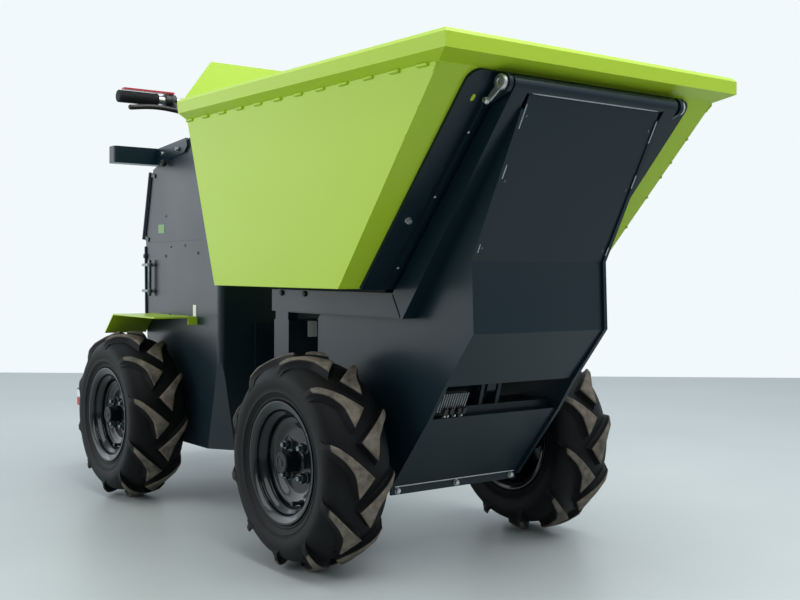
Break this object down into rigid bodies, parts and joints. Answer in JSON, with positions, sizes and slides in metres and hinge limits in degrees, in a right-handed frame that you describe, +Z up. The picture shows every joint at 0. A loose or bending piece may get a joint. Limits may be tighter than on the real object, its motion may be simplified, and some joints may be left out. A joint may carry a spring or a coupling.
{
  "type": "articulated electric site dumper",
  "caption": "Small wheeled site dumper: lime skip that tips forward over a folded nose, rear battery console with handlebar, articulated waist and lugged tyres.",
  "frame": {"origin": "on the ground under the middle of the machine's box", "axes": "+X forwards, to the side the skip tips; +Y to the machine's left; +Z up"},
  "size_m": [1.734, 0.716, 1.0271],
  "materials": {
    "skip_enamel": "gloss enamel",
    "chassis_coat": "satin powder coat",
    "console_coat": "satin powder coat",
    "tread_rubber": "worn rubber",
    "rim_coat": "gloss paint",
    "hard_chrome": "polished",
    "grip_rubber": "matt",
    "red_plastic": "moulded",
    "lever_coat": "satin black",
    "battery_case": "moulded",
    "cast_alloy": "as cast",
    "drive_case": "painted casting",
    "bright_bar": "satin",
    "deck_coat": "coated, with hazard edge"
  },
  "bodies": {
    "front_chassis": {"side_frame_right": "chassis_coat", "side_frame_left": "chassis_coat", "pivot_tube": "chassis_coat", "nose_cover": "chassis_coat", "belly_pan": "chassis_coat", "nose_cheek_right": "chassis_coat", "nose_cheek_left": "chassis_coat", "front_axle": "drive_case", "cylinder_mount": "chassis_coat", "waist_bracket": "chassis_coat", "rail_tie": "chassis_coat", "rest_buffers": "grip_rubber", "controller": "cast_alloy", "front_motor": "drive_case"},
    "skip": {"skip_tub": "skip_enamel", "tip_frame": "chassis_coat"},
    "tip_barrel": {"tip_cylinder_barrel": "chassis_coat"},
    "tip_rod": {"tip_cylinder_rod": "hard_chrome"},
    "rear_frame": {"console_shell": "console_coat", "waist_neck": "chassis_coat", "rear_axle": "drive_case", "rear_axle_collars": "chassis_coat", "battery_block": "battery_case", "fender_right": "skip_enamel", "fender_left": "skip_enamel", "back_rail": "chassis_coat", "rail_bracket_right": "chassis_coat", "rail_bracket_left": "chassis_coat", "handlebar": "bright_bar", "grip_right": "grip_rubber", "grip_left": "grip_rubber", "brake_lever_right": "lever_coat", "brake_lever_left": "lever_coat", "hold_lever": "red_plastic", "platform_mount": "chassis_coat"},
    "hatch": {"hatch": "console_coat"},
    "platform": {"platform": "deck_coat"},
    "wheel_front_right": {"tyre_front_right": "tread_rubber", "rim_front_right": "rim_coat"},
    "wheel_front_left": {"tyre_front_left": "tread_rubber", "rim_front_left": "rim_coat"},
    "wheel_rear_right": {"tyre_rear_right": "tread_rubber", "rim_rear_right": "rim_coat"},
    "wheel_rear_left": {"tyre_rear_left": "tread_rubber", "rim_rear_left": "rim_coat"}
  },
  "joints": [
    {"name": "skip_tip", "type": "hinge", "parent": "front_chassis", "child": "skip", "pos_m": [0.841, 0, 0.866], "axis": [0, 1, 0], "range_deg": [0, 90]},
    {"name": "cylinder_swing", "type": "hinge", "parent": "front_chassis", "child": "tip_barrel", "pos_m": [0.568, 0, 0.345], "axis": [0, 1, 0], "range_deg": [-12, 1]},
    {"name": "cylinder_stroke", "type": "slide", "parent": "tip_barrel", "child": "tip_rod", "axis": [0.4138, 0, 0.9104], "range_m": [0, 0.2]},
    {"name": "waist_steer", "type": "hinge", "parent": "front_chassis", "child": "rear_frame", "pos_m": [-0.017, 0, 0.35], "axis": [0, 0, 1], "range_deg": [-20, 20]},
    {"name": "hatch_hinge", "type": "hinge", "parent": "rear_frame", "child": "hatch", "pos_m": [-0.56175, -0.203, 0.64211], "axis": [0.235, 0, 0.972], "range_deg": [0, 100]},
    {"name": "platform_fold", "type": "hinge", "parent": "rear_frame", "child": "platform", "pos_m": [-0.667, 0, 0.226], "axis": [0, 1, 0], "range_deg": [0, 80]},
    {"name": "wheel_front_right_roll", "type": "hinge", "parent": "front_chassis", "child": "wheel_front_right", "pos_m": [0.383, -0.287, 0.205], "axis": [0, 1, 0], "continuous": true},
    {"name": "wheel_front_left_roll", "type": "hinge", "parent": "front_chassis", "child": "wheel_front_left", "pos_m": [0.383, 0.287, 0.205], "axis": [0, 1, 0], "continuous": true},
    {"name": "wheel_rear_right_roll", "type": "hinge", "parent": "rear_frame", "child": "wheel_rear_right", "pos_m": [-0.45, -0.287, 0.205], "axis": [0, 1, 0], "continuous": true},
    {"name": "wheel_rear_left_roll", "type": "hinge", "parent": "rear_frame", "child": "wheel_rear_left", "pos_m": [-0.45, 0.287, 0.205], "axis": [0, 1, 0], "continuous": true}
  ],
  "couplings": [
    {"joint": "cylinder_swing", "follows": "skip_tip", "ratio": -0.10902},
    {"joint": "cylinder_stroke", "follows": "skip_tip", "m_per_rad": 0.11608}
  ]
}
